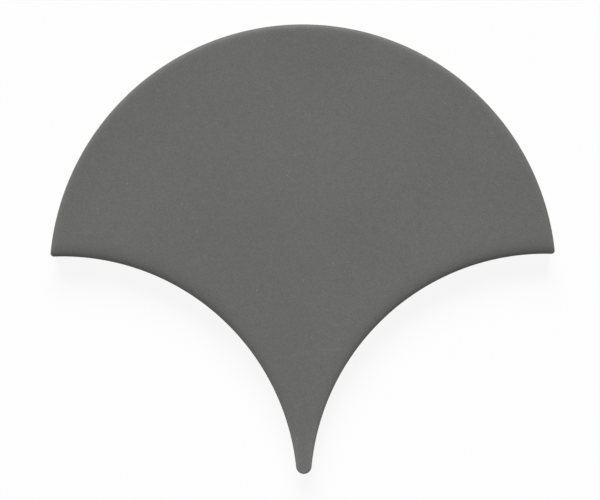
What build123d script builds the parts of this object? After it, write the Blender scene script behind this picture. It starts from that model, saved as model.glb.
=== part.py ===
from build123d import *
import math
import os

# Fan floor tile: one pressed and glazed ceramic piece, lying on its ribbed back.
# +Z is up, with the glazed face on top. The crown points to +Y and the tail to -Y.
# The origin is the middle of the plan, on the plane that the back rests on. Sizes are in millimetres.

# Plan
tile_width = 120.0  # from horn to horn
crown_rise = 54.9  # from the line through the horns up to the top of the crown
tail_drop = 51.9  # from that line down to the end of the tail
flank_radius = 55.9  # the two hollow flanks
tip_radius = 1.85  # round end of the tail

# Section through the edge
thickness = 9.0
side_draft = 1.0  # lean of the side wall in degrees, widest at the rim
back_arris = 0.5  # chamfer round the back
rim_radius = 0.5  # tight turn from the side wall onto the face
roll_slope = 38.0  # slope in degrees where the tight turn eases into the roll
crown_roll_radius = 1.5  # easy roll along the crown
flank_roll_radius = 3.3  # easy roll along the flanks and round the tip

# Keying grooves across the back
key_pitch = 9.0
key_width = 5.0  # at the mouth of a groove
key_depth = 0.7
key_flare = 35.0  # lean of a groove's sides from upright, in degrees
key_border = 5.0  # plain margin kept round the grooves

hair = 0.001  # a length that counts as nothing

slope = math.radians(roll_slope)
lean = math.tan(math.radians(side_draft))


# The arc through both horns and the top of the crown: its centre above the horn line, and its radius
def crown_arc():
    radius = ((tile_width / 2) ** 2 + crown_rise**2) / (2 * crown_rise)
    return Vector(0, crown_rise - radius), radius


# Centre of the right flank, which passes through the horn and touches the round tip
def flank_middle(tip):
    horn = Vector(tile_width / 2, 0)
    way = (tip - horn).normalized()
    reach = (tip - horn).length
    along = (flank_radius**2 - (flank_radius + tip_radius) ** 2 + reach**2) / (2 * reach)
    aside = math.sqrt(flank_radius**2 - along**2)
    return horn + way * along + Vector(-way.Y, way.X) * aside


# Edge section from the back up to the face, as (distance from the axis of its arc, height).
# side is -1 where the tile lies inside the arc and 1 where it lies outside it.
# The roll stops at the distance inset from the rim, or where it levels out into the face.
def edge_section(arc_radius, side, roll_radius, inset=math.inf):
    turn_inset = rim_radius * (1 - math.sin(slope))
    level_inset = turn_inset + roll_radius * math.sin(slope)
    roll_floor = thickness - roll_radius
    turn_height = roll_floor + roll_radius * math.cos(slope)
    rim = turn_height - rim_radius * math.cos(slope)

    def at(distance, height):
        return arc_radius + side * distance, height

    def turn(angle):
        return at(rim_radius * (1 - math.sin(angle)), rim + rim_radius * math.cos(angle))

    def roll(angle):
        return at(level_inset - roll_radius * math.sin(angle), roll_floor + roll_radius * math.cos(angle))

    last = math.asin(max(0, level_inset - inset) / roll_radius)
    foot = at((rim - back_arris) * lean, back_arris)
    return [
        Line(at(rim * lean + back_arris, 0), foot),
        Line(foot, at(0, rim)),
        ThreePointArc(at(0, rim), turn((slope + math.pi / 2) / 2), turn(slope)),
        ThreePointArc(turn(slope), roll((slope + last) / 2), roll(last)),
    ]


# Solid turned about an upright axis at middle, filling an edge section in to the axis
def turned(section, middle, angle=360):
    top = section[-1] @ 1
    corners = [(0, top.Y), (0, 0)] if top.X > hair else [(0, 0)]
    outline = section + Polyline(top, *corners, section[0] @ 0).edges()
    face = Plane.YZ * make_face(outline)
    return Pos(middle.X, middle.Y) * revolve(face, Axis.Z, angle)


# What is cut off past the tail: a wedge below the lines where the flanks run into the round tip
def past_tail(tip, flank):
    touch = (flank - tip).normalized() * tail_drop
    wedge = Polygon((0, 0), (0, -tail_drop), (touch.X, -tail_drop), (touch.X, touch.Y), align=None)
    round_tip = turned(edge_section(tip_radius, -1, flank_roll_radius, tip_radius), tip)
    return Pos(tip.X, tip.Y) * extrude(wedge, thickness) - round_tip


# Right half of the tile: half a turned disc, less the hollow of its flank and what lies past the tail
def right_half(crown, crown_radius, tip, flank):
    disc = turned(edge_section(crown_radius, -1, crown_roll_radius), crown, -180)
    hollow = turned(edge_section(flank_radius, 1, flank_roll_radius), flank)
    return disc - hollow - past_tail(tip, flank)


# Straight grooves that run from the tail towards the crown and stop short of the edge, all flared one way.
# A rib lies on the middle line, so the grooves come in pairs on either side of it.
def key_grooves(crown, crown_radius, tip, flank):
    field = Pos(crown.X, crown.Y) * Circle(crown_radius - key_border)
    for side in (-1, 1):
        field -= Pos(side * flank.X, flank.Y) * Circle(flank_radius + key_border)
    field -= Pos(tip.X, tip.Y) * Rectangle(tile_width, tail_drop, align=(Align.CENTER, Align.MAX))
    pairs = math.floor((tile_width / 2 - key_border) / key_pitch)
    section = Trapezoid(key_width, key_depth, 90 - key_flare, align=(Align.CENTER, Align.MIN))
    across = [Pos((place + 0.5) * key_pitch, 0) for place in range(-pairs, pairs)]
    grooves = extrude(Plane.XZ * Sketch(across * section), crown_rise + tail_drop, both=True)
    return extrude(field, key_depth, taper=key_flare) & grooves


crown, crown_radius = crown_arc()
tip = Vector(0, tip_radius - tail_drop)
flank = flank_middle(tip)
half = right_half(crown, crown_radius, tip, flank)
tile = half + mirror(half, Plane.YZ) - key_grooves(crown, crown_radius, tip, flank)
fan_tile = Pos(0, (tail_drop - crown_rise) / 2) * tile

os.makedirs("parts", exist_ok=True)
export_step(fan_tile, "parts/fan_tile.step")
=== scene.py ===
import math
import bpy
import numpy as np
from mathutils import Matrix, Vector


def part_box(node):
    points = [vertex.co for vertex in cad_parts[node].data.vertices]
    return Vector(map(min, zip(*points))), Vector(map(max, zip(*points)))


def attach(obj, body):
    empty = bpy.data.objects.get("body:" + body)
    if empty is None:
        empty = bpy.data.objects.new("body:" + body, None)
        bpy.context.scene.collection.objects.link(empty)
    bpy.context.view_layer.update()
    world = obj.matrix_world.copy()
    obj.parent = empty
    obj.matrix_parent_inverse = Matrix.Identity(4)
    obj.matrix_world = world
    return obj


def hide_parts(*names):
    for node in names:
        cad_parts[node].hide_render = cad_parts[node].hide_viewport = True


# Fan floor tile: one closed surface with a fired skin, on its back with the face up and the tail to -Y

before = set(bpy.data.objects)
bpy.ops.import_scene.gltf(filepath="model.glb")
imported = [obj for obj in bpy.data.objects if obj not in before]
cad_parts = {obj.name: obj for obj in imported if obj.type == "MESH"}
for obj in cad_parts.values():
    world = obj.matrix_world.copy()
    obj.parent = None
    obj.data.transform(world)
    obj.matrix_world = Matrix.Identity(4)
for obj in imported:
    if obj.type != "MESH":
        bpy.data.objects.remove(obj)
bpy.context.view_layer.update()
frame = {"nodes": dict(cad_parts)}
low, high = (np.array(corner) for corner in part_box("fan_tile"))
print("frame loaded:", ", ".join(frame["nodes"]))

millimetre = 0.001

# Plan of the tile in metres. Its width, crown, tail and thickness come from the CAD box.
tilePlan = {
    "hornLine": -0.0015,  # y of the line through both horns
    "flankRadius": 0.0559,
    "tipRadius": 0.00185,
    "hornRadius": 0.00075,
}


# Point at the given distances from two others, on the left of the way from the first to the second:
# (a^2 - b^2 + d^2) / 2d along that way, and aside from it by sqrt(a^2 - along^2)
def meetCircles(first, firstRadius, second, secondRadius):
    reach = np.hypot(*(second - first))
    ahead = (second - first) / reach
    along = (firstRadius**2 - secondRadius**2 + reach**2) / (2 * reach)
    aside = math.sqrt(firstRadius**2 - along**2)
    return first + ahead * along + np.array([-ahead[1], ahead[0]]) * aside


# Arcs of the right half: their middles, and the points where one runs into the next
hornLine = tilePlan["hornLine"]
flankRadius = tilePlan["flankRadius"]
tipRadius = tilePlan["tipRadius"]
hornRadius = tilePlan["hornRadius"]
crownRise = high[1] - hornLine
crownRadius = (high[0] ** 2 + crownRise**2) / (2 * crownRise)
crownMid = np.array([0, high[1] - crownRadius])
tipMid = np.array([0, low[1] + tipRadius])
flankMid = meetCircles(np.array([high[0], hornLine]), flankRadius, tipMid, flankRadius + tipRadius)
hornMid = meetCircles(crownMid, crownRadius - hornRadius, flankMid, flankRadius + hornRadius)
tipEnd = tipMid + (flankMid - tipMid) * tipRadius / (flankRadius + tipRadius)
hornFoot = hornMid + (flankMid - hornMid) * hornRadius / (flankRadius + hornRadius)
hornHead = hornMid + (hornMid - crownMid) * hornRadius / (crownRadius - hornRadius)
halfWidth = hornMid[0] + hornRadius

turnNormal = np.array([[1], [-1], [-1]])  # turns the normal inwards on arcs that the tile lies inside


# An arc over x, as y and the normal away from its middle: y = middle + side * sqrt(radius^2 - x^2)
def arcAt(across, middle, radius, side):
    y = middle[1] + side * np.sqrt(np.maximum(radius**2 - (across - middle[0]) ** 2, 0))
    return np.stack([y, (across - middle[0]) / radius, (y - middle[1]) / radius])


# Lower edge of the plan over x, as y and the inward normal: round tip, hollow flank, then round horn
def lowerEdge(x):
    across = np.abs(x)
    tip = arcAt(across, tipMid, tipRadius, -1) * turnNormal
    flank = arcAt(across, flankMid, flankRadius, 1)
    horn = arcAt(across, hornMid, hornRadius, -1) * turnNormal
    y, normalX, normalY = np.where(across < tipEnd[0], tip, np.where(across < hornFoot[0], flank, horn))
    return y, normalX * np.sign(x), normalY


# Upper edge of the plan over x, in the same way: crown, then round horn
def upperEdge(x):
    across = np.abs(x)
    crown = arcAt(across, crownMid, crownRadius, 1) * turnNormal
    horn = arcAt(across, hornMid, hornRadius, 1) * turnNormal
    y, normalX, normalY = np.where(across < hornHead[0], crown, horn)
    return y, normalX * np.sign(x), normalY


# Outline as points and inward normals: the lower edge from left to right, then the upper edge back again
def tileOutline(x):
    lower = np.stack([x, *lowerEdge(x)])
    upper = np.stack([x, *upperEdge(x)])[:, -2:0:-1]
    outline = np.concatenate([lower, upper], axis=1)
    return outline[:2], outline[2:]


# Section through the edge, from the back up to the face
tileEdge = {
    "sideDraft": math.radians(1),
    "backArris": 0.0005,
    "arrisPower": 1.4,  # 1 is a straight chamfer and 2 a quarter round
    "rimRadius": 0.0005,
    "rollSlope": math.radians(38),  # slope of the face where it leaves the rim
    "crownRoll": 0.0004,  # distance in which a roll loses two thirds of its slope
    "flankRoll": (0.00105, 0.0001),  # the same at the horns and at the tail
    "flankEase": 3.3,  # the higher, the later the roll fades towards the tail
    "mitre": 4,  # the higher, the sharper two rolls meet
}

rimRadius = tileEdge["rimRadius"]
rollSlope = tileEdge["rollSlope"]
turnInset = rimRadius * (1 - math.sin(rollSlope))  # how far in the tight turn of the rim ends


# How far a place lies in from the crown, and from the flanks and tail together.
# Left and right flank join as (left^-m + right^-m)^(-1/m), which rounds the ridge down the tail.
# Within the round tip the two distances are those to the near and the far side of its circle.
def edgeInsets(x, y):
    crown = crownRadius - np.hypot(x - crownMid[0], y - crownMid[1])
    left = np.hypot(x + flankMid[0], y - flankMid[1]) - flankRadius
    right = np.hypot(x - flankMid[0], y - flankMid[1]) - flankRadius
    tip = tipRadius - np.hypot(x - tipMid[0], y - tipMid[1])
    inTip = (y - tipMid[1]) * flankMid[0] < np.abs(x) * (flankMid[1] - tipMid[1])
    near = np.where(inTip, tip, np.minimum(left, right))
    far = np.where(inTip, 2 * tipRadius - tip, np.maximum(left, right))
    power = tileEdge["mitre"]
    return crown, (near**-power + far**-power) ** (-1 / power)


# Drop of an edge roll: reach * tan(slope) * e^(-distance / reach), and a straight slope beyond the rim
def rollDrop(inset, reach):
    past = inset - turnInset
    return math.tan(rollSlope) * (reach * np.exp(-np.maximum(past, 0) / reach) + np.maximum(-past, 0))


# Reach of the flank's roll: it shrinks with (1 - t^ease), where t is the share of the way from horn to tail
def flankReach(x, y):
    horn, tail = (math.atan2(*(end - flankMid)[::-1]) for end in (hornFoot, tipEnd))
    turn = np.arctan2(y - flankMid[1], np.abs(x) - flankMid[0])
    way = np.clip((turn - horn) / (tail - horn), 0, 1)
    start, stop = tileEdge["flankRoll"]
    return stop + (start - stop) * (1 - way ** tileEdge["flankEase"])


# Slow waves of the fired face: wavelength across x and y, and a phase
tileWaves = {
    "depth": 0.00004,
    "sets": ((0.031, 0.047, 0.4), (-0.023, 0.035, 1.9), (0.058, -0.027, 4.1), (0.017, 0.021, 2.6)),
}


# Slow waves between 0 and 1: the mean of a few sines that run in different directions
def slowWaves(x, y):
    waves = [np.sin(2 * np.pi * (x / spanX + y / spanY) + phase) for spanX, spanY, phase in tileWaves["sets"]]
    return 0.5 + 0.5 * np.mean(waves, axis=0)


# Height of the face: thickness less the two rolls, joined as (crown^m + flank^m)^(1/m), less the slow waves
def faceHeight(x, y):
    crownInset, flankInset = edgeInsets(x, y)
    crownDrop = rollDrop(crownInset, tileEdge["crownRoll"])
    flankDrop = rollDrop(flankInset, flankReach(x, y))
    power = tileEdge["mitre"]
    drop = (crownDrop**power + flankDrop**power) ** (1 / power)
    return high[2] - drop - tileWaves["depth"] * slowWaves(x, y)


# Keying grooves in the back
tileKeys = {
    "pitch": 0.009,
    "width": 0.005,
    "depth": 0.0007,
    "flare": math.radians(35),
    "border": 0.005,  # plain margin round the grooves
    "softness": 0.16,  # rounding of a groove's edges, as a share of its sloping side
    "trim": 0.000001,  # taken off the soft ends of the slopes, so that the ribs lie flat
}

keyRun = tileKeys["depth"] * math.tan(tileKeys["flare"])  # width of a groove's sloping side


# Middle lines of the grooves, a half pitch either side of the middle rib
def keyMiddles():
    pairs = math.floor((high[0] - tileKeys["border"]) / tileKeys["pitch"])
    return (np.arange(-pairs, pairs) + 0.5) * tileKeys["pitch"]


# Ramp from 0 to 1 with rounded ends: half of 1 + sqrt(t^2 + s^2) - sqrt((t - 1)^2 + s^2)
def softRamp(t):
    soft = tileKeys["softness"]
    return (1 + np.sqrt(t**2 + soft**2) - np.sqrt((t - 1) ** 2 + soft**2)) / 2


# Height of the back: a sloped groove across x about each middle line, times a ramp in from the margin
def backHeight(x, y):
    middles = keyMiddles()
    nearest = middles[np.abs(x[..., None] - middles).argmin(-1)]
    across = softRamp((tileKeys["width"] / 2 - np.abs(x - nearest)) / keyRun)
    ends = softRamp((np.minimum(*edgeInsets(x, y)) - tileKeys["border"]) / keyRun)
    return np.maximum(tileKeys["depth"] * across * ends - tileKeys["trim"], 0)


# Tone of the glaze near its edges: paler over the rim, partly from thin glaze and partly a painted highlight
# on the rim that faces the light, and darker inside the crown
edgeTone = {
    "paleReach": 0.0005,  # how far in from the rim it is paler
    "litSide": (0.15, 0.9),  # paler along the crown and the sides of the tail, not below the horns where the rim faces away from the light; this part is painted highlight
    "darkReach": 0.009,  # how far in from the crown the face is darker
    "darkShare": 0.2,  # how much darker, as a share of the paling at the rim
}


# How pale the rim is at a distance from it, from thin glaze and painted highlight: e^(-distance / reach),
# less the more the rim faces down the plan, away from the light, as 1 - 3t^2 + 2t^3 over the upward part of
# its inward normal
def thinGlazeAndHighlight(distance, inwardY):
    start, stop = edgeTone["litSide"]
    t = np.clip((inwardY - start) / (stop - start), 0, 1)
    return np.exp(-np.maximum(distance, 0) / edgeTone["paleReach"]) * (1 - 3 * t**2 + 2 * t**3)


# How much darker the face is inside the crown: share * e^(-distance from the crown / reach)
def crownDarkening(x, y):
    fromCrown = crownRadius - np.hypot(x - crownMid[0], y - crownMid[1])
    return edgeTone["darkShare"] * np.exp(-np.maximum(fromCrown, 0) / edgeTone["darkReach"])


# Mesh density
tileGrid = {
    "step": 0.00082,  # length of edge that one column takes, top and bottom edges added up
    "turnWeight": 0.003,  # extra length for each radian that the edge turns
    "edgeSamples": 60001,  # points at which that length is added up
    "poleGap": 0.00002,  # no column is closer than this to the point of a horn
    "arrisRings": 5,
    "wallRings": 6,
    "turnRings": 9,
    "faceSteps": (0, 0.1, 0.22, 0.37, 0.55, 0.77, 1.03, 1.34, 1.7, 2.15, 2.7, 3.35, 4.1, 5),  # millimetres
    "stepRoom": 2.5,  # the steps shrink in columns shorter than this many times their reach
    "faceRows": 44,
    "keyRows": (5, 10, 24, 10, 5),  # margin, groove ends, grooves, groove ends, margin
    "keyLead": 0.0004,  # close rows begin this far before the end of a groove
    "keyTrail": 0.0014,  # and go on this far into it
    "keyEase": 0.005,  # distance beyond the last groove in which the columns turn to follow the horns
}


# Places of the mesh columns along x. They take equal lengths of edge, with more where it turns,
# and some fall exactly on the edges of the grooves.
def columnPlaces():
    x = halfWidth * np.sin(np.linspace(-np.pi / 2, np.pi / 2, tileGrid["edgeSamples"]))
    travel = np.zeros(len(x))
    for y, normalX, normalY in (lowerEdge(x), upperEdge(x)):
        heading = np.unwrap(np.arctan2(normalY, normalX))
        steps = np.hypot(np.diff(x), np.diff(y)) + tileGrid["turnWeight"] * np.abs(np.diff(heading))
        travel[1:] += np.cumsum(steps)
    soft = keyRun * tileKeys["softness"]
    wall = tileKeys["width"] / 2 - np.array([-soft, soft, keyRun / 2, keyRun - soft, keyRun + soft])
    stops = (keyMiddles()[:, None] + np.concatenate([-wall, wall])).ravel()
    stops = np.interp(np.sort(np.concatenate([[-halfWidth], stops, [halfWidth]])), x, travel)
    counts = np.ceil(np.diff(stops) / tileGrid["step"]).astype(int)
    spans = zip(stops, stops[1:], counts)
    places = [np.linspace(start, stop, count, endpoint=False) for start, stop, count in spans]
    columns = np.interp(np.concatenate([*places, stops[-1:]]), travel, x)
    clear = np.abs(columns) < halfWidth - tileGrid["poleGap"]
    return np.concatenate([[-halfWidth], columns[clear], [halfWidth]])


# Edge of the tile: the section carried round the outline, as rings from the back up to the face, and
# how pale the rim is there, from thin glaze and painted highlight. Each ring lies a distance in along the
# normals:
# height * lean on the wall, radius * (1 - cos) on the tight turn, and a curve sin^p, cos^p round the back
# arris.
def edgeRings(outline, normals):
    top = outline + normals * turnInset
    rim = faceHeight(*top) - rimRadius * math.cos(rollSlope)
    level = np.ones_like(rim)  # carries a part of the section that is the same all the way round
    lean = math.tan(tileEdge["sideDraft"])
    arris = tileEdge["backArris"]
    turn = np.linspace(0, np.pi / 2, tileGrid["arrisRings"])[:, None]
    power = 2 / tileEdge["arrisPower"]
    arrisInset = lean * (rim - arris) + arris * (1 - np.sin(turn) ** power)
    arrisZ = arris * (1 - np.cos(turn) ** power) * level
    climb = np.linspace(0, 1, tileGrid["wallRings"] + 1)[1:, None]
    wallZ = arris + (rim - arris) * climb
    wallInset = lean * (rim - wallZ)
    turn = np.linspace(0, np.pi / 2 - rollSlope, tileGrid["turnRings"])[1:, None]
    rimInset = rimRadius * (1 - np.cos(turn)) * level
    rimZ = rim + rimRadius * np.sin(turn)
    insets = np.concatenate([arrisInset, wallInset, rimInset])
    x = outline[0] + normals[0] * insets
    y = outline[1] + normals[1] * insets
    z = np.concatenate([arrisZ, wallZ, rimZ])
    return np.stack([x, y, z], axis=-1), thinGlazeAndHighlight(rim - z, normals[1])


# Rows along every column of the face: fixed steps in from both ends and even ones between them.
# Where a column is too short for its steps, they shrink with it and even out.
def faceRows(length):
    steps = millimetre * np.array(tileGrid["faceSteps"])
    room = np.minimum(1, length / (tileGrid["stepRoom"] * steps[-1]))[:, None]
    near = steps * room
    spread = np.linspace(0, 1, tileGrid["faceRows"] + 2)[1:-1]
    inner = near[:, -1:] + (length[:, None] - 2 * near[:, -1:]) * spread
    rows = np.concatenate([near, inner, length[:, None] - near[:, ::-1]], axis=1)
    even = length[:, None] * np.linspace(0, 1, rows.shape[1])
    return even + (rows - even) * room


# Inner points of the face and how pale it is there, from thin glaze and painted highlight near the rim. A
# column is straight in plan from its lower to its upper end, at bottom + (top - bottom) * share, and lies at
# the height of the face.
def faceGrid(bottom, top):
    length = top[:, 1] - bottom[:, 1]
    rows = faceRows(length)
    share = rows / length[:, None]
    x = bottom[:, :1] + (top[:, :1] - bottom[:, :1]) * share
    y = bottom[:, 1:2] + rows
    points = np.stack([x, y, faceHeight(x, y)], axis=-1)[:, 1:-1]
    crownInset, flankInset = edgeInsets(points[..., 0], points[..., 1])
    inwardY = (points[..., 1] - flankMid[1]) / (flankRadius + flankInset)
    # paler near the rim: thin glaze, with a painted highlight where the rim faces the light
    thinAndHighlight = np.maximum(thinGlazeAndHighlight(crownInset - turnInset, -1), thinGlazeAndHighlight(flankInset - turnInset, inwardY))
    return points, thinAndHighlight


# Rows along every column of the back, close together where the grooves end, and where its margins end
def backRows(x, bottom, top):
    reach = flankRadius + tileKeys["border"]
    start = flankMid[1] + np.sqrt(np.maximum(reach**2 - (flankMid[0] - np.abs(x)) ** 2, 0))
    stop = crownMid[1] + np.sqrt(np.maximum((crownRadius - tileKeys["border"]) ** 2 - x**2, 0))
    lead, trail = tileGrid["keyLead"], tileGrid["keyTrail"]
    knots = np.stack([bottom, start - lead, start + trail, stop - trail, stop + lead, top])
    even = bottom + (top - bottom) * np.linspace(0, 1, len(knots))[:, None]
    hasKeys = np.all(np.diff(knots, axis=0) > lead, axis=0)
    knots = np.where(hasKeys, knots, even)
    spans = zip(knots, knots[1:], tileGrid["keyRows"])
    rows = [begin + (end - begin) * np.linspace(0, 1, count + 1)[:-1, None] for begin, end, count in spans]
    return np.concatenate([*rows, knots[-1:]]).T, knots[1], knots[-2]


# Inner points of the back. A column follows its own x over the grooves and leans over to its ends within
# the margins. Beyond the last groove it eases, as 3t^2 - 2t^3, into a straight line from end to end.
def backGrid(columnX, bottom, top):
    y, keyStart, keyStop = backRows(columnX, bottom[:, 1], top[:, 1])
    intoStart = np.clip((y - bottom[:, 1:2]) / (keyStart - bottom[:, 1])[:, None], 0, 1)
    intoStop = np.clip((top[:, 1:2] - y) / (top[:, 1] - keyStop)[:, None], 0, 1)
    x = columnX[:, None] + (bottom[:, 0] - columnX)[:, None] * (1 - intoStart)
    x = x + (top[:, 0] - columnX)[:, None] * (1 - intoStop)
    share = (y - bottom[:, 1:2]) / (top[:, 1:2] - bottom[:, 1:2])
    straightX = bottom[:, :1] + (top[:, :1] - bottom[:, :1]) * share
    lastGroove = keyMiddles()[-1] + tileKeys["width"] / 2
    t = np.clip((np.abs(columnX) - lastGroove) / tileGrid["keyEase"], 0, 1)[:, None]
    x = x + (straightX - x) * t**2 * (3 - 2 * t)
    return np.stack([x, y, backHeight(x, y)], axis=-1)[:, 1:-1]


# Faces over the face or the back, whose columns begin and end on a ring of the edge:
# quads between neighbouring columns, and triangles to the single points of both horns
def gridFaces(ring, points, firstIndex):
    last = len(ring) // 2
    inner = firstIndex + np.arange(points[..., 0].size).reshape(points.shape[:2])
    grid = np.concatenate([ring[1:last, None], inner, ring[:last:-1, None]], axis=1)
    quads = np.stack([grid[:-1, :-1], grid[1:, :-1], grid[1:, 1:], grid[:-1, 1:]], axis=-1).reshape(-1, 4)
    leftHorn, rightHorn = (np.full(grid.shape[1] - 1, ring[end]) for end in (0, last))
    left = np.stack([leftHorn, grid[0, :-1], grid[0, 1:]], axis=-1)
    right = np.stack([grid[-1, :-1], rightHorn, grid[-1, 1:]], axis=-1)
    return quads, np.concatenate([left, right])


# The whole tile as one closed surface: edge rings, and a grid of columns over the face and the back
def makeTile():
    x = columnPlaces()
    last = len(x) - 1
    rings, ringThinAndHighlight = edgeRings(*tileOutline(x))
    face, faceThinAndHighlight = faceGrid(rings[-1, 1:last], rings[-1, :last:-1])
    back = backGrid(x[1:last], rings[0, 1:last], rings[0, :last:-1])
    vertices = np.concatenate([rings.reshape(-1, 3), face.reshape(-1, 3), back.reshape(-1, 3)])
    thinAndHighlight = np.concatenate([ringThinAndHighlight.ravel(), faceThinAndHighlight.ravel(), np.zeros(back[..., 0].size)])
    # darker inside the crown, fading inwards
    thinAndHighlight = thinAndHighlight - crownDarkening(vertices[:, 0], vertices[:, 1])

    index = np.arange(ringThinAndHighlight.size).reshape(ringThinAndHighlight.shape)
    after = np.roll(index, -1, axis=1)
    sides = np.stack([index[:-1], after[:-1], after[1:], index[1:]], axis=-1).reshape(-1, 4)
    faceQuads, faceTris = gridFaces(index[-1], face, index.size)
    backQuads, backTris = gridFaces(index[0], back, index.size + faceThinAndHighlight.size)
    quads = np.concatenate([sides, faceQuads, backQuads[:, ::-1]])
    tris = np.concatenate([faceTris, backTris[:, ::-1]])

    mesh = bpy.data.meshes.new("fan_tile_fired")
    mesh.from_pydata(vertices, [], quads.tolist() + tris.tolist())
    mesh.shade_smooth()
    # how pale the rim is, from thin glaze and a painted highlight on the rim that faces the light, less a
    # darker zone inside the crown
    mesh.attributes.new("thinGlazeAndHighlight", "FLOAT", "POINT").data.foreach_set("value", thinAndHighlight)
    tile = bpy.data.objects.new("fan_tile_fired", mesh)
    bpy.context.collection.objects.link(tile)
    print("tile:", len(x), "columns,", 2 * len(quads) + len(tris), "triangles")
    return tile


# Adds a node. An input given as a socket is linked, and any other value is set on it.
def addNode(tree, kind, inputs, **settings):
    made = tree.nodes.new(kind)
    for name, value in settings.items():
        setattr(made, name, value)
    for name, value in inputs.items():
        if isinstance(value, bpy.types.NodeSocket):
            tree.links.new(value, made.inputs[name])
        else:
            made.inputs[name].default_value = value
    return made


# Result of a maths node
def calc(tree, operation, *values):
    return addNode(tree, "ShaderNodeMath", dict(enumerate(values)), operation=operation).outputs[0]


# Smooth step from 0 to 1 as a value goes from start to stop
def ramp(tree, value, start, stop):
    inputs = {"Value": value, "From Min": start, "From Max": stop}
    return addNode(tree, "ShaderNodeMapRange", inputs, interpolation_type="SMOOTHSTEP").outputs[0]


# Blend of two colours, by the colour sockets of a mix node
def blend(tree, share, first, second):
    return addNode(tree, "ShaderNodeMix", {0: share, 6: first, 7: second}, data_type="RGBA").outputs[2]


# Blend of two numbers, by its number sockets
def between(tree, share, first, second):
    return addNode(tree, "ShaderNodeMix", {0: share, 2: first, 3: second}).outputs[0]


# Colour times a number
def scaled(tree, color, factor):
    return addNode(tree, "ShaderNodeVectorMath", {0: color, "Scale": factor}, operation="SCALE").outputs[0]


# Fractal noise between 0 and 1, in cells of the given size in metres
def noise(tree, place, size, detail):
    inputs = {"Vector": place, "Scale": 1 / size, "Detail": detail}
    return addNode(tree, "ShaderNodeTexNoise", inputs).outputs[0]


# Product of several noises about 1: each swings by its own depth
def swing(tree, place, layers):
    tone = 1.0
    for size, detail, depth in layers:
        layer = calc(tree, "MULTIPLY_ADD", noise(tree, place, size, detail), 2 * depth, 1 - depth)
        tone = calc(tree, "MULTIPLY", tone, layer)
    return tone


# Form of all specks
speckForm = {
    "core": 0.4,  # share of the radius within which a speck is at full strength
    "waves": 0.6,  # cells of noise in one radius, which pull it out of shape
}


# Small uneven specks, one in a given share of the cells of a pattern that a noise pulls out of shape
def specks(tree, place, spacing, radius, kept):
    waves = {"Vector": place, "Scale": speckForm["waves"] / radius, "Detail": 1.0}
    pull = addNode(tree, "ShaderNodeTexNoise", waves).outputs["Color"]
    inputs = {0: pull, 1: (radius,) * 3, 2: place}
    pulled = addNode(tree, "ShaderNodeVectorMath", inputs, operation="MULTIPLY_ADD").outputs[0]
    cells = addNode(tree, "ShaderNodeTexVoronoi", {"Vector": pulled, "Scale": 1 / spacing}).outputs
    spot = ramp(tree, cells["Distance"], radius / spacing, speckForm["core"] * radius / spacing)
    lot = addNode(tree, "ShaderNodeSeparateColor", {"Color": cells["Color"]}).outputs[0]
    return calc(tree, "MULTIPLY", spot, calc(tree, "LESS_THAN", lot, kept))


# Matt glaze. Layers of tone are (size of a cell, detail, depth), and specks (spacing, radius, share kept).
glazeLook = {
    "greys": ((0.1210, 0.1203, 0.1174, 1), (0.1185, 0.1189, 0.1129, 1)),
    "tintSize": 0.034,
    "grain": (0.00037, 1, 0.245),
    "clouds": ((0.0018, 2, 0.06), (0.021, 1, 0.08)),
    "paleSpecks": (0.0018, 0.00027, 0.2),
    "paleGain": 0.35,
    "pinholes": (0.0047, 0.00022, 0.10),
    # how much darker the pinholes are: painted shade in their pits
    "pinholeShade": 0.35,
    "thinAndHighlightGain": 0.25,  # how much paler the rim is: thin glaze, and a painted highlight where the rim faces the light
    "tailGain": 0.055,  # and at the end of the tail
    "tailFade": (-0.040, -0.047),  # from the first y to the second
    "roughness": (0.52, 0.70),
    "specular": 0.3,
    "grainDepth": 0.000012,
    "orangePeel": (0.0021, 0.000014),  # size and depth
    "pinholeDepth": 0.00006,
}

# Faint pale scuffs across the neck, in millimetres: middle x and y, turn in degrees, half length and
# half width, and how much paler each is
glazeScuffs = {
    "strokes": (
        (-5.2, -25.6, 10, 5.5, 0.6, 0.09),
        (0.8, -24.6, 9, 5.5, 0.6, 0.09),
        (6.8, -23.85, 3, 3.6, 0.5, 0.25),
        (10.2, -23.9, -1, 4.4, 0.6, 0.20),
        (6.5, -17.6, -20, 2.8, 0.7, 0.13),
        (9.6, -17.9, 5, 4.0, 0.7, 0.13),
        (4.5, -23.9, -60, 3.8, 2.6, 0.06),
    ),
    "breakUp": 0.0007,  # size of the noise that breaks them up, in metres
}


# Gain of the scuffs: soft elongated smudges, each 1 - distance from its middle in its own stretched
# coordinates, added up by their gains and broken up by a noise
def scuffGain(tree, place):
    total = 0.0
    for x, y, turn, length, width, gain in glazeScuffs["strokes"]:
        inputs = {
            "Vector": place,
            "Location": (millimetre * x, millimetre * y, high[2]),
            "Rotation": (0, 0, math.radians(turn)),
            "Scale": (millimetre * length, millimetre * width, millimetre),
        }
        local = addNode(tree, "ShaderNodeMapping", inputs, vector_type="TEXTURE").outputs[0]
        smudge = addNode(tree, "ShaderNodeTexGradient", {"Vector": local}, gradient_type="SPHERICAL")
        total = calc(tree, "MULTIPLY_ADD", smudge.outputs["Fac"], gain, total)
    return calc(tree, "MULTIPLY", total, noise(tree, place, glazeScuffs["breakUp"], detail=2))


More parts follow.
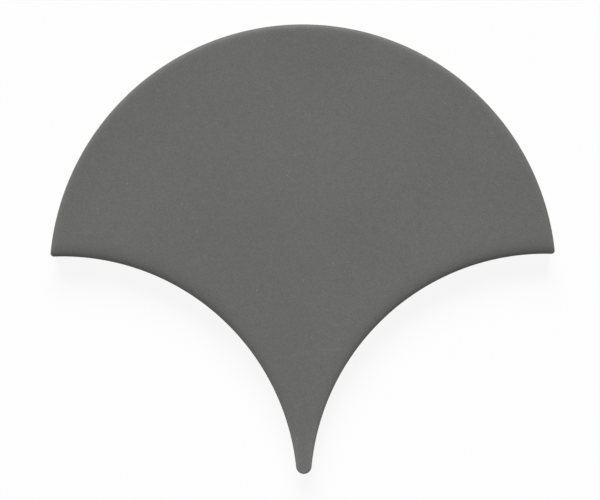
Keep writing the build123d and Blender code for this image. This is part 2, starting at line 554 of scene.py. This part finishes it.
# Colour of the glaze: grey by its grain and clouds, pale specks, pinholes darkened by painted shade in their
# pits, and scuffs; paler over the rim, where it lies thin and where a highlight is painted on the rim that
# faces the light;
# darker inside the crown, and paler at the tail. Each changes the tone by a factor of 1 + share * gain.
def glazeColor(tree, place, along, pinholes):
    tone = swing(tree, place, (glazeLook["grain"], *glazeLook["clouds"]))
    thinAndHighlight = addNode(tree, "ShaderNodeAttribute", {}, attribute_name="thinGlazeAndHighlight").outputs["Fac"]
    changes = (
        (specks(tree, place, *glazeLook["paleSpecks"]), glazeLook["paleGain"]),
        # pinholes darker: painted shade in their pits
        (pinholes, -glazeLook["pinholeShade"]),
        (scuffGain(tree, place), 1.0),
        # paler rim: thin glaze, and a painted highlight where the rim faces the light
        (thinAndHighlight, glazeLook["thinAndHighlightGain"]),
        (ramp(tree, along, *glazeLook["tailFade"]), glazeLook["tailGain"]),
    )
    for share, gain in changes:
        tone = calc(tree, "MULTIPLY", tone, calc(tree, "MULTIPLY_ADD", share, gain, 1.0))
    grey = blend(tree, noise(tree, place, glazeLook["tintSize"], detail=1), *glazeLook["greys"])
    return scaled(tree, grey, tone)


# Fired clay, bare on the back and the foot of the side wall
clayLook = {
    "color": (0.44, 0.405, 0.35),
    "tone": ((0.0005, 2, 0.10), (0.004, 3, 0.09), (0.03, 1, 0.05)),
    "ironSpecks": (0.0024, 0.00034, 0.22),
    "ironColor": (0.16, 0.115, 0.08, 1),
    "washColor": (0.66, 0.65, 0.62, 1),  # pale kiln wash left on the ribs
    "washHeight": (0.00022, 0.00004),  # none above the first height, all of it below the second
    "washPatch": 0.0019,
    "washStretch": (1, 0.3, 1),  # it lies in streaks along the ribs
    "washEdge": (0.34, 0.70),
    "washShare": 0.62,
    "roughness": 0.92,
    "grain": (0.00055, 0.00005),  # size and depth
}


# Colour of the clay: mottled, with iron specks, and streaks of pale kiln wash on the ribs
def clayColor(tree, place, height):
    clay = scaled(tree, clayLook["color"], swing(tree, place, clayLook["tone"]))
    iron = specks(tree, place, *clayLook["ironSpecks"])
    spotted = blend(tree, iron, clay, clayLook["ironColor"])
    stretch = {0: place, 1: clayLook["washStretch"]}
    streaks = addNode(tree, "ShaderNodeVectorMath", stretch, operation="MULTIPLY").outputs[0]
    patch = ramp(tree, noise(tree, streaks, clayLook["washPatch"], detail=6), *clayLook["washEdge"])
    wash = calc(tree, "MULTIPLY", ramp(tree, height, *clayLook["washHeight"]), patch)
    return blend(tree, calc(tree, "MULTIPLY", wash, clayLook["washShare"]), spotted, clayLook["washColor"])


# Where the glaze ends on the side wall
glazeLine = {
    "height": 0.0031,
    "wander": ((0.009, 0.0016), (0.0016, 0.0005)),  # size and depth of its waves
    "blur": 0.00014,
    "thickness": 0.00012,
    "spray": (0.0011, 0.00026, 0.35),  # stray dots of glaze below the line
    "sprayFoot": 0.0011,  # and the height at which they stop
}


# Share of glaze over clay: full above a wandering line on the side wall, with stray dots below it
def glazeCover(tree, place, height):
    above = calc(tree, "SUBTRACT", height, glazeLine["height"])
    for size, depth in glazeLine["wander"]:
        wave = calc(tree, "SUBTRACT", noise(tree, place, size, detail=2), 0.5)
        above = calc(tree, "MULTIPLY_ADD", wave, -2 * depth, above)
    cover = ramp(tree, above, -glazeLine["blur"], glazeLine["blur"])
    dots = specks(tree, place, *glazeLine["spray"])
    dots = calc(tree, "MULTIPLY", dots, calc(tree, "GREATER_THAN", height, glazeLine["sprayFoot"]))
    return calc(tree, "MAXIMUM", cover, dots)


# Relief in metres: fine grain, orange peel and pinholes on the glaze, coarse grain on the clay, and a step
# of the glaze's thickness between them
def firedRelief(tree, place, cover, pinholes):
    grainSize = glazeLook["grain"][0]
    fine = calc(tree, "MULTIPLY", noise(tree, place, grainSize, detail=1), glazeLook["grainDepth"])
    peelSize, peelDepth = glazeLook["orangePeel"]
    glaze = calc(tree, "MULTIPLY_ADD", noise(tree, place, peelSize, detail=1), peelDepth, fine)
    glaze = calc(tree, "MULTIPLY_ADD", pinholes, -glazeLook["pinholeDepth"], glaze)
    glaze = calc(tree, "ADD", glaze, glazeLine["thickness"])
    claySize, clayDepth = clayLook["grain"]
    clay = calc(tree, "MULTIPLY", noise(tree, place, claySize, detail=3), clayDepth)
    return between(tree, cover, clay, glaze)


# Skin of the whole tile: glaze over clay by its cover, in colour, roughness and relief
def makeFiredSkin():
    material = bpy.data.materials.new("matt_glaze")
    material.use_nodes = True
    tree = material.node_tree
    shader = tree.nodes["Principled BSDF"]
    place = addNode(tree, "ShaderNodeTexCoord", {}).outputs["Object"]
    axes = addNode(tree, "ShaderNodeSeparateXYZ", {"Vector": place}).outputs
    cover = glazeCover(tree, place, axes["Z"])
    pinholes = specks(tree, place, *glazeLook["pinholes"])
    glaze = glazeColor(tree, place, axes["Y"], pinholes)
    color = blend(tree, cover, clayColor(tree, place, axes["Z"]), glaze)
    peelSize = glazeLook["orangePeel"][0]
    sheen = between(tree, noise(tree, place, peelSize, detail=2), *glazeLook["roughness"])
    relief = firedRelief(tree, place, cover, pinholes)
    bump = addNode(tree, "ShaderNodeBump", {"Height": relief, "Distance": 1.0, "Strength": 1.0})
    tree.links.new(color, shader.inputs["Base Color"])
    tree.links.new(between(tree, cover, clayLook["roughness"], sheen), shader.inputs["Roughness"])
    tree.links.new(bump.outputs["Normal"], shader.inputs["Normal"])
    shader.inputs["Specular IOR Level"].default_value = glazeLook["specular"]
    print("material:", len(tree.nodes), "nodes")
    return material


tile = makeTile()
tile.data.materials.append(makeFiredSkin())
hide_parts("fan_tile")
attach(tile, "root")

# Floor, light and camera
studio = {
    "floorSize": 4.0,
    "floorColor": (0.9, 0.9, 0.9, 1),
    "whiteShare": 0.9,  # how much of the floor that the camera sees is plain white
    "skyStrength": 0.2,
    "underStrength": 0.9,  # light from below, for the side walls and views of the back
    "underLean": 0.7,  # how much stronger it is on the left than in the middle, so that the grooves show
    "keyStrength": 3.55,
    "keySpread": math.radians(34),
    "keyTilt": math.radians(45),  # from straight above, towards the crown
    "keyTurn": math.radians(4),  # and a little to its left
    "lens": 135,
    "frameWidth": 0.1425,  # what the picture's width covers at the tile's rim
    "aside": (-0.00062, -0.00021),  # how far the camera stands from above the tile's middle
    "cameraTurn": math.radians(-0.32),  # the tile lies a hair askew in the picture
}


# Plain white seen by the camera and in reflections, and a given shader for all other light
def whiteToCamera(tree, shader, share):
    path = addNode(tree, "ShaderNodeLightPath", {}).outputs
    mirrored = calc(tree, "MAXIMUM", path["Is Glossy Ray"], path["Is Transmission Ray"])
    seen = calc(tree, "MAXIMUM", path["Is Camera Ray"], mirrored)
    white = addNode(tree, "ShaderNodeEmission", {}).outputs[0]
    mix = {0: calc(tree, "MULTIPLY", seen, share), 1: shader, 2: white}
    return addNode(tree, "ShaderNodeMixShader", mix).outputs[0]


# Floor that is pale from above and clear from below. It lets light from below through to the tile.
def makeFloor():
    half = studio["floorSize"] / 2
    corners = [(-half, -half, 0), (half, -half, 0), (half, half, 0), (-half, half, 0)]
    mesh = bpy.data.meshes.new("floor")
    mesh.from_pydata(corners, [], [(0, 1, 2, 3)])
    floor = bpy.data.objects.new("floor", mesh)
    floor.visible_diffuse = False
    floor.visible_shadow = False
    bpy.context.collection.objects.link(floor)
    material = bpy.data.materials.new("pale_floor")
    material.use_nodes = True
    tree = material.node_tree
    tree.nodes.clear()
    pale = addNode(tree, "ShaderNodeBsdfDiffuse", {"Color": studio["floorColor"]}).outputs[0]
    above = whiteToCamera(tree, pale, studio["whiteShare"])
    below = addNode(tree, "ShaderNodeBsdfTransparent", {}).outputs[0]
    facing = addNode(tree, "ShaderNodeNewGeometry", {}).outputs["Backfacing"]
    both = addNode(tree, "ShaderNodeMixShader", {0: facing, 1: above, 2: below}).outputs[0]
    addNode(tree, "ShaderNodeOutputMaterial", {"Surface": both})
    mesh.materials.append(material)


# Even light from the sky, light from below that leans to the left, and a soft sun over the crown
def makeLight():
    world = bpy.data.worlds.new("studio")
    bpy.context.scene.world = world
    world.use_nodes = True
    tree = world.node_tree
    tree.nodes.clear()
    way = addNode(tree, "ShaderNodeTexCoord", {}).outputs["Generated"]
    axes = addNode(tree, "ShaderNodeSeparateXYZ", {"Vector": way}).outputs
    leaning = calc(tree, "MULTIPLY_ADD", axes["X"], -studio["underLean"], 1.0)
    under = calc(tree, "MULTIPLY", leaning, studio["underStrength"])
    isUnder = calc(tree, "LESS_THAN", axes["Z"], 0.0)
    strength = between(tree, isUnder, studio["skyStrength"], under)
    sky = addNode(tree, "ShaderNodeBackground", {"Strength": strength}).outputs[0]
    addNode(tree, "ShaderNodeOutputWorld", {"Surface": whiteToCamera(tree, sky, 1.0)})
    light = bpy.data.lights.new("soft_key", "SUN")
    light.angle = studio["keySpread"]
    light.energy = studio["keyStrength"]
    lamp = bpy.data.objects.new("soft_key", light)
    lamp.rotation_euler = (-studio["keyTilt"], 0, studio["keyTurn"])
    bpy.context.collection.objects.link(lamp)


# Camera straight above the tile. The picture's width at the rim is distance * sensor width / lens.
def makeCamera():
    camera = bpy.data.cameras.new("camera")
    camera.lens = studio["lens"]
    seat = bpy.data.objects.new("camera", camera)
    middle = (low + high) / 2
    rim = high[2] - rimRadius
    distance = studio["frameWidth"] * camera.lens / camera.sensor_width
    seat.location = (middle[0] + studio["aside"][0], middle[1] + studio["aside"][1], rim + distance)
    seat.rotation_euler = (0, 0, studio["cameraTurn"])
    bpy.context.collection.objects.link(seat)
    bpy.context.scene.camera = seat


makeFloor()
makeLight()
makeCamera()
bpy.context.scene.view_settings.view_transform = "Standard"
print("studio ready")
